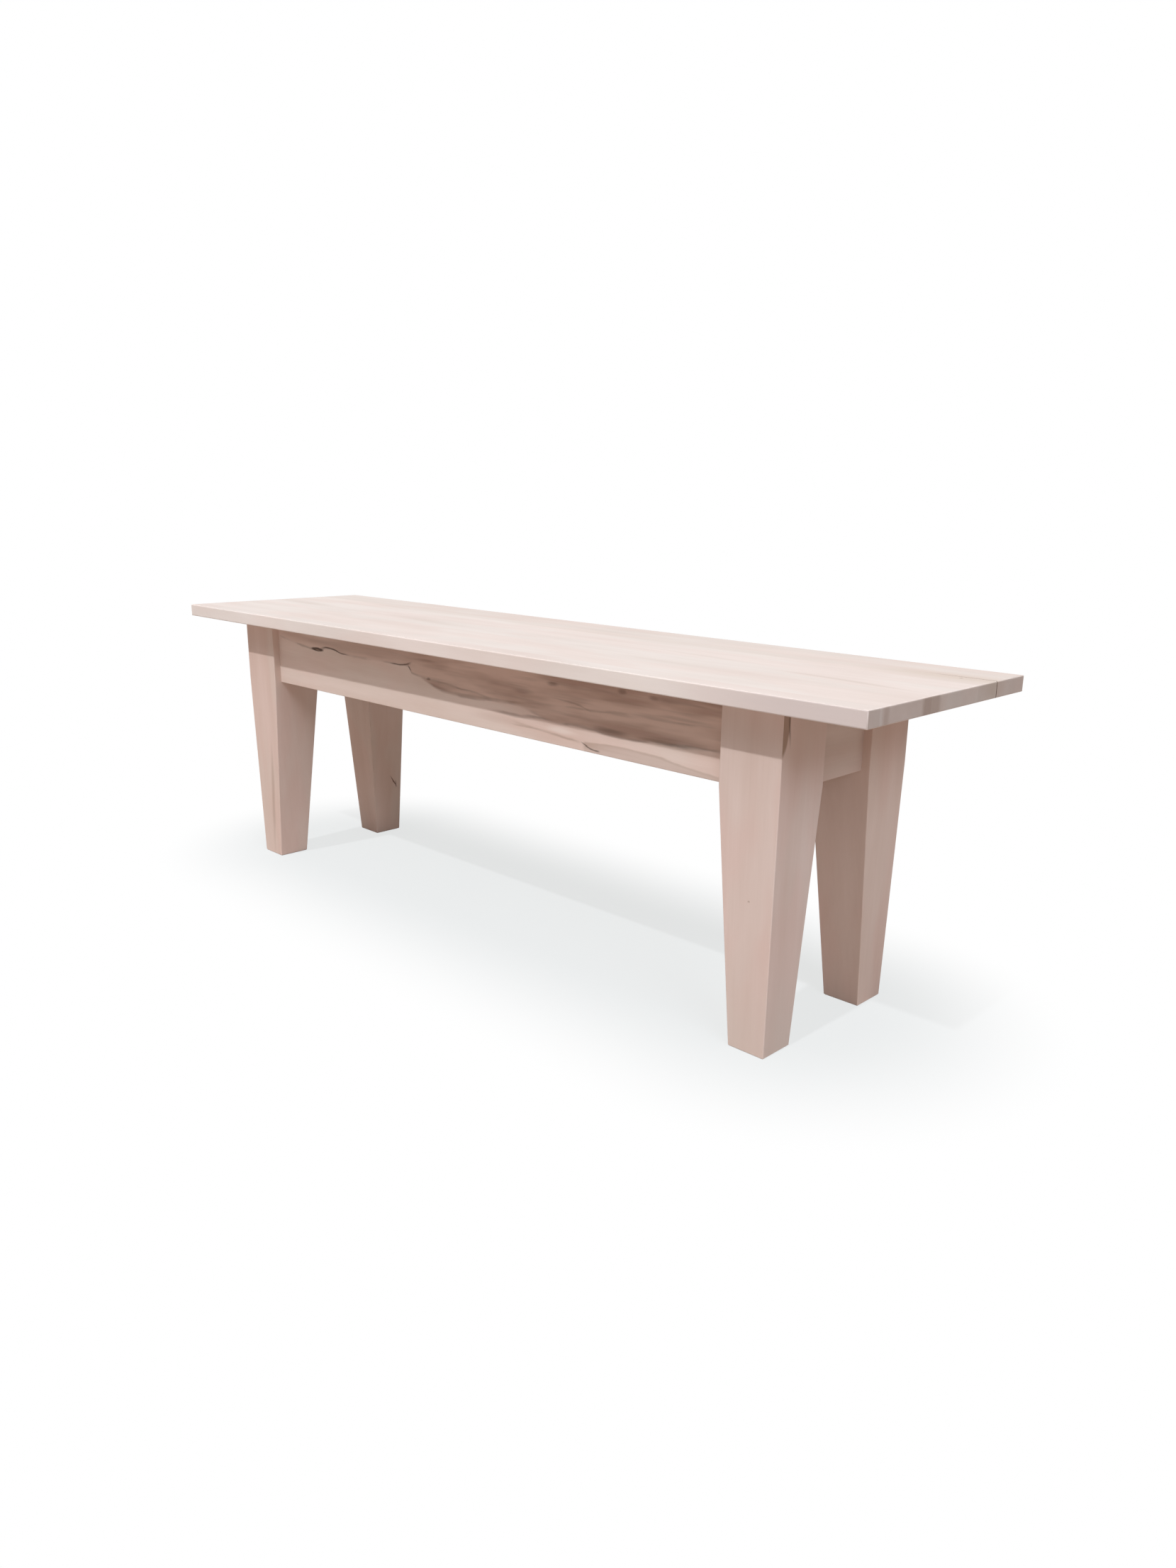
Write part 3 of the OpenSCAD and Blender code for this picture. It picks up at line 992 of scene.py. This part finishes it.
@dataclass
class Aprons(WoodenPieces):
    """The four aprons, with their tenons, and the heartwood that shows along the front one."""

    SLOT: ClassVar[str] = "apron_maple"

    mark_y: float = -0.2
    mark_depth: float = 0.3
    pale: Colour = (0.81, 0.68, 0.612)
    deep: Colour = (0.70, 0.55, 0.475)
    # a darker copy of the apron wood for the right apron: painted shade under the top's end overhang
    right_pale_shaded: Colour = (0.68, 0.545, 0.475)
    right_deep_shaded: Colour = (0.58, 0.44, 0.375)
    heart: Colour = (0.68, 0.495, 0.415)
    heart_deep: Colour = (0.45, 0.295, 0.235)
    drift: Colour = (0.60, 0.47, 0.41)
    tan: Colour = (0.62, 0.46, 0.39)
    cream: Colour = (0.92, 0.82, 0.75)

    def spot(
        self, x: float, z: float, length: float, height: float, colour: Colour, strength: float,
        core: float = 0.2,
    ) -> Blotch:
        """Describes a long spot on the front face.

        Args:
            x: its middle along X.
            z: its middle up Z.
            length: half its length.
            height: half its height.
            colour: its colour.
            strength: how strong it is.
            core: the share of it that has its full strength.

        Returns:
            The mark.
        """
        return Blotch((x, self.mark_y, z), (length, self.mark_depth, height), colour, strength, core=core)

    def heartwood(self) -> WavyLine:
        """Describes the brown heartwood above a long wandering line.

        Returns:
            The mark.
        """
        return WavyLine(
            (
                (-0.84, 0.696), (-0.76, 0.682), (-0.69, 0.674), (-0.63, 0.670), (-0.58, 0.681),
                (-0.53, 0.677), (-0.47, 0.672), (-0.36, 0.673), (-0.28, 0.672), (-0.205, 0.674),
                (-0.19, 0.658), (-0.15, 0.650), (-0.11, 0.637), (-0.07, 0.626), (-0.02, 0.622),
                (0.05, 0.621), (0.12, 0.627), (0.20, 0.628), (0.28, 0.617), (0.34, 0.606),
                (0.43, 0.609), (0.52, 0.602), (0.58, 0.602), (0.66, 0.608), (0.74, 0.613), (0.84, 0.615),
            ),
            width=0.0050,
            strength=0.34,
            patchy=0.85,
            side=Side.ABOVE,
            tint=self.heart,
            tint_deep=self.heart_deep,
            tint_strength=0.92,
            tint_start=-0.20,
            tint_soft=0.005,
        )

    def drift_lines(self) -> tuple[WavyLine, ...]:
        """Describes the brown drift along the lower edge and the line that trails into it.

        Returns:
            The marks.
        """
        drift = WavyLine(
            (
                (0.435, 0.574), (0.50, 0.577), (0.596, 0.580), (0.66, 0.577),
                (0.716, 0.570), (0.78, 0.565), (0.84, 0.561),
            ),
            width=0.0040,
            strength=0.35,
            line_colour=BROWN_STREAK,
            patchy=0.5,
            fade=0.012,
            side=Side.BELOW,
            tint=self.drift,
            tint_deep=BROWN_STREAK,
            tint_strength=0.62,
            tint_start=0.30,
            tint_soft=0.004,
        )
        trail = ((0.19, 0.588), (0.24, 0.585), (0.36, 0.577), (0.44, 0.573))
        return drift, WavyLine(trail, 0.0045, 0.55, BROWN_STREAK, patchy=0.4)

    def clouds(self) -> tuple[Blotch, ...]:
        """Describes the soft light and dark places in and below the heartwood.

        Returns:
            The marks.
        """
        clouds = (
            (0.12, 0.614, 0.16, 0.012, self.pale, 0.45),
            (0.50, 0.625, 0.20, 0.012, self.heart_deep, 0.35),
            (0.20, 0.603, 0.095, 0.007, DARK_LINE, 0.34),
            (0.285, 0.608, 0.060, 0.005, DARK_LINE, 0.36),
            (0.52, 0.611, 0.075, 0.010, DARK_LINE, 0.46),
            (0.69, 0.610, 0.110, 0.006, DARK_LINE, 0.42),
            (0.34, 0.693, 0.026, 0.007, DARK_LINE, 0.45),
            (0.555, 0.702, 0.018, 0.009, DARK_LINE, 0.40),
            (0.24, 0.665, 0.050, 0.010, DARK_LINE, 0.25),
            (0.645, 0.700, 0.020, 0.008, DARK_LINE, 0.30),
            (0.16, 0.587, 0.150, 0.016, self.tan, 0.45),
            (0.365, 0.590, 0.070, 0.010, self.cream, 0.42),
            (0.24, 0.581, 0.060, 0.004, BROWN_STREAK, 0.40),
            (-0.71, 0.700, 0.140, 0.020, self.heart_deep, 0.30),
        )
        return tuple(self.spot(*cloud) for cloud in clouds)

    def dark_lines(self) -> tuple[WavyLine, ...]:
        """Describes the fine dark lines.

        Returns:
            The marks.
        """
        upper = (
            (0.05, 0.632), (0.16, 0.632), (0.30, 0.641), (0.45, 0.650),
            (0.58, 0.657), (0.70, 0.656), (0.83, 0.664),
        )
        rise = ((0.33, 0.661), (0.43, 0.656), (0.46, 0.649), (0.53, 0.654))
        inner = ((-0.17, 0.652), (-0.12, 0.649), (-0.05, 0.645), (0.03, 0.640), (0.13, 0.632))
        belly = ((-0.13, 0.644), (-0.07, 0.630), (-0.02, 0.626), (0.05, 0.627), (0.14, 0.632))
        brow = ((-0.62, 0.678), (-0.58, 0.682), (-0.545, 0.680), (-0.51, 0.674), (-0.465, 0.673))
        stroke = ((-0.29, 0.672), (-0.25, 0.672), (-0.215, 0.676), (-0.18, 0.684))
        hook = ((-0.204, 0.674), (-0.195, 0.668), (-0.190, 0.663), (-0.187, 0.655))
        barb = ((0.43, 0.576), (0.442, 0.571), (0.462, 0.564), (0.495, 0.561))
        return (
            WavyLine(upper, 0.0045, 0.26, patchy=0.8, fade=0.1),
            WavyLine(rise, 0.0035, 0.30, patchy=0.3),
            WavyLine(inner, 0.0042, 0.36, patchy=0.4),
            WavyLine(belly, 0.0075, 0.34, patchy=0.3),
            WavyLine(brow, 0.0032, 0.92),
            WavyLine(stroke, 0.0034, 0.85, fade=0.03),
            WavyLine(hook, 0.0030, 0.9, fade=0.006),
            WavyLine(barb, 0.0028, 0.80, fade=0.012),
        )

    def front_marks(self) -> tuple[Mark, ...]:
        """Describes the figure of the front apron.

        Returns:
            The marks, in the order in which they are laid.
        """
        knot = (
            self.spot(-0.630, 0.673, 0.037, 0.0068, DARK_LINE, 0.92, core=0.62),
            self.spot(-0.628, 0.6715, 0.017, 0.0026, BROWN_STREAK, 0.6),
            self.spot(-0.118, 0.650, 0.012, 0.004, DARK_LINE, 0.55),
        )
        return (self.heartwood(), *self.drift_lines(), *self.clouds(), *self.dark_lines(), *knot)

    def finishes(self) -> dict[str, LimedMaple]:
        """Chooses the aprons.

        Returns:
            A finish for each apron's node.
        """
        wood, right, marks = (self.pale, self.deep), (self.right_pale_shaded, self.right_deep_shaded), self.front_marks()
        return {
            "apron_front": LimedMaple(
                "maple_front_apron", *wood, Grain.ALONG_X, 4.4, (-0.30, 0.60), 0.75, marks=marks
            ),
            "apron_back": LimedMaple("maple_back_apron", *wood, Grain.ALONG_X, 8.2, (0.31, 0.66), 0.7),
            "apron_left": LimedMaple("maple_left_apron", *wood, Grain.ALONG_Y, 12.5, (-1.05, 0.60), 0.65),
            # painted shade: the right apron takes the darker copy of the wood, for the shade under the
            # overhang
            "apron_right": LimedMaple("maple_right_apron_shaded", *right, Grain.ALONG_Y, 16.8, (1.06, 0.68), 0.65),
        }


@dataclass
class HiddenFrame:
    """What holds the top on from below: cross rails, wooden buttons, screws and washers."""

    rail_pale: Colour = (0.72, 0.58, 0.48)
    rail_deep: Colour = (0.58, 0.44, 0.34)
    button_pale: Colour = (0.62, 0.43, 0.30)
    button_deep: Colour = (0.47, 0.30, 0.19)
    pieces: list[bpy.types.Object] = field(default_factory=list)

    def build(self) -> None:
        """Dresses the frame's own nodes, whose shapes are right as they are."""
        maple, beech = (self.rail_pale, self.rail_deep), (self.button_pale, self.button_deep)
        rail = LimedMaple("bare_maple_rail", *maple, Grain.ALONG_Y, 21.3, (0.09, 0.60), 0.8).material()
        button = LimedMaple("bare_beech_button", *beech, Grain.ALONG_Y, 25.7, (0.06, 0.64), 0.9).material()
        zinc = ZincSteel().material()
        dressed = {
            "cross_rail_left": rail,
            "cross_rail_middle": rail,
            "cross_rail_right": rail,
            "top_buttons": button,
            "button_screws": zinc,
            "rail_screws": zinc,
            "rail_washers": zinc,
        }
        for node, material in dressed.items():
            Bench.dress(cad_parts[node], material)
            self.pieces.append(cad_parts[node])


# ---------------- the studio


@dataclass(frozen=True)
class Sun:
    """A distant light: where it stands, which way it shines, and how wide it looks in degrees."""

    name: str
    place: Point
    way: Point
    power: float
    colour: Colour
    width: float

    def build(self) -> None:
        """Hangs the light."""
        data = bpy.data.lights.new(self.name, "SUN")
        data.energy = self.power
        data.color = self.colour
        data.angle = math.radians(self.width)
        light = bpy.data.objects.new(self.name, data)
        light.location = self.place
        light.rotation_euler = Vector(self.way).to_track_quat("-Z", "Y").to_euler()
        bpy.context.scene.collection.objects.link(light)


@dataclass(frozen=True)
class Studio:
    """A pale floor that runs out of sight, a crisp key light, a soft fill, and the light of the room.

    The floor has painted shade in an oblong with round ends, from a half length out from its middle,
    and the shade dies away between the two distances of its reach.
    """

    key: Sun = Sun("key", (0.0, -4.0, 6.0), (-0.02, 1.0, -1.5), 1.90, (0.955, 0.987, 1.025), 1.4)
    fill: Sun = Sun("right_fill", (4.0, 0.0, 3.0), (-0.88, 0.36, -0.75), 1.2, (0.84, 0.96, 1.08), 30.0)
    air_low: Colour = (0.305, 0.256, 0.228)
    air_right: Colour = (0.05, 0.045, 0.04)
    air_high: Colour = (0.56, 0.54, 0.52)
    background: Colour = (1.0, 1.0, 1.0)
    floor_size: float = 60.0
    floor_bounce: Colour = (0.52, 0.448, 0.402)
    floor_painted_shade: Colour = (0.715, 0.73, 0.73)
    floor_share: Colour = (0.118, 0.118, 0.118)
    shade_middle_y: float = 0.04
    shade_half_length: float = 0.85
    shade_reach: Edge = (0.18, 0.64)

    def floor_material(self) -> bpy.types.Material:
        """Makes a pale floor with a little painted shade under the table, that throws back a moderate light.

        Returns:
            The floor's material.
        """
        material = bpy.data.materials.new("pale_floor")
        sheet = NodeSheet(material)
        x, y, _ = sheet.split(sheet.node("TexCoord", {}).outputs["Object"])
        beyond = sheet.math("SUBTRACT", sheet.math("ABSOLUTE", x), self.shade_half_length)
        beyond = sheet.math("MAXIMUM", beyond, 0.0)
        aside = sheet.math("SUBTRACT", y, self.shade_middle_y)
        away = sheet.ramp(sheet.number("LENGTH", sheet.join(beyond, aside, 0.0)), *self.shade_reach)
        bounce = sheet.node("BsdfDiffuse", {"Color": self.floor_bounce})
        # painted shade: near the table the floor shows a set grey glow instead of the white beyond it
        near = sheet.node("Emission", {"Color": self.floor_painted_shade})
        share = sheet.node("BsdfDiffuse", {"Color": self.floor_share})
        shaded_floor = sheet.node("AddShader", {0: near.outputs[0], 1: share.outputs[0]})
        far = sheet.node("Emission", {"Color": self.background})
        shown = sheet.node("MixShader", {0: away, 1: shaded_floor.outputs[0], 2: far.outputs[0]})
        seen = sheet.node("LightPath", {}).outputs["Is Camera Ray"]
        both = sheet.node("MixShader", {0: seen, 1: bounce.outputs[0], 2: shown.outputs[0]})
        sheet.node("OutputMaterial", {"Surface": both.outputs[0]})
        return material

    def build_floor(self) -> None:
        """Lays the floor."""
        bpy.ops.object.select_all(action="DESELECT")
        bpy.ops.mesh.primitive_plane_add(size=self.floor_size, location=(0.0, 0.0, 0.0))
        floor = bpy.context.active_object
        floor.name = "studio_floor"
        Bench.dress(floor, self.floor_material())

    def build_world(self) -> None:
        """Sets the light of the room, stronger from above, and the white that shows behind the table."""
        world = bpy.data.worlds.new("studio_air")
        sheet = NodeSheet(world)
        right, _, up = sheet.split(sheet.node("TexCoord", {}).outputs["Generated"])
        air = sheet.mix(up, sheet.mix(right, self.air_low, self.air_right), self.air_high)
        room = sheet.node("Background", {"Color": air})
        white = sheet.node("Background", {"Color": self.background})
        seen = sheet.node("LightPath", {}).outputs["Is Camera Ray"]
        both = sheet.node("MixShader", {0: seen, 1: room.outputs[0], 2: white.outputs[0]})
        sheet.node("OutputWorld", {"Surface": both.outputs[0]})
        bpy.context.scene.world = world

    def build(self) -> None:
        """Sets up the whole studio."""
        self.build_floor()
        self.build_world()
        self.key.build()
        self.fill.build()
        bpy.context.scene.view_settings.view_transform = "Standard"
        LOG.info("studio set up")


@dataclass(frozen=True)
class Viewpoint:
    """Where the camera stands, how it is turned in degrees, and how it frames the table."""

    place: Point = (2.1597, -1.9340, 1.0949)
    yaw: float = -43.646
    pitch: float = 15.900
    roll: float = 0.927
    sensor: float = 36.0
    lens: float = 25.6134
    shift: tuple[float, float] = (-0.0127, 0.0211)

    def build(self) -> None:
        """Makes the camera and gives it to the scene."""
        yaw, pitch, roll = (math.radians(angle) for angle in (self.yaw, self.pitch, self.roll))
        ahead = Vector((math.sin(yaw) * math.cos(pitch), math.cos(yaw) * math.cos(pitch), -math.sin(pitch)))
        level = Vector((math.cos(yaw), -math.sin(yaw), 0.0))
        upright = level.cross(ahead)
        right = level * math.cos(roll) + upright * math.sin(roll)
        up = upright * math.cos(roll) - level * math.sin(roll)
        data = bpy.data.cameras.new("viewpoint")
        data.sensor_width = self.sensor
        data.lens = self.lens
        data.shift_x, data.shift_y = self.shift
        camera = bpy.data.objects.new("viewpoint", data)
        turn = Matrix((right, up, -ahead)).transposed().to_4x4()
        camera.matrix_world = Matrix.Translation(self.place) @ turn
        bpy.context.scene.collection.objects.link(camera)
        bpy.context.scene.camera = camera
        LOG.info("camera set up")


def main() -> None:
    """Builds the table's looks piece by piece."""
    logging.basicConfig(level=logging.INFO, format="%(message)s")
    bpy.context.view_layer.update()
    Viewpoint().build()
    for part in (TableTop(), Legs(), Aprons(), HiddenFrame()):
        part.build()
        for piece in part.pieces:
            LOG.info("%s: %d faces", piece.name, len(piece.data.polygons))
    Studio().build()
    LOG.info("sizes written")


if __name__ == "__main__":
    main()
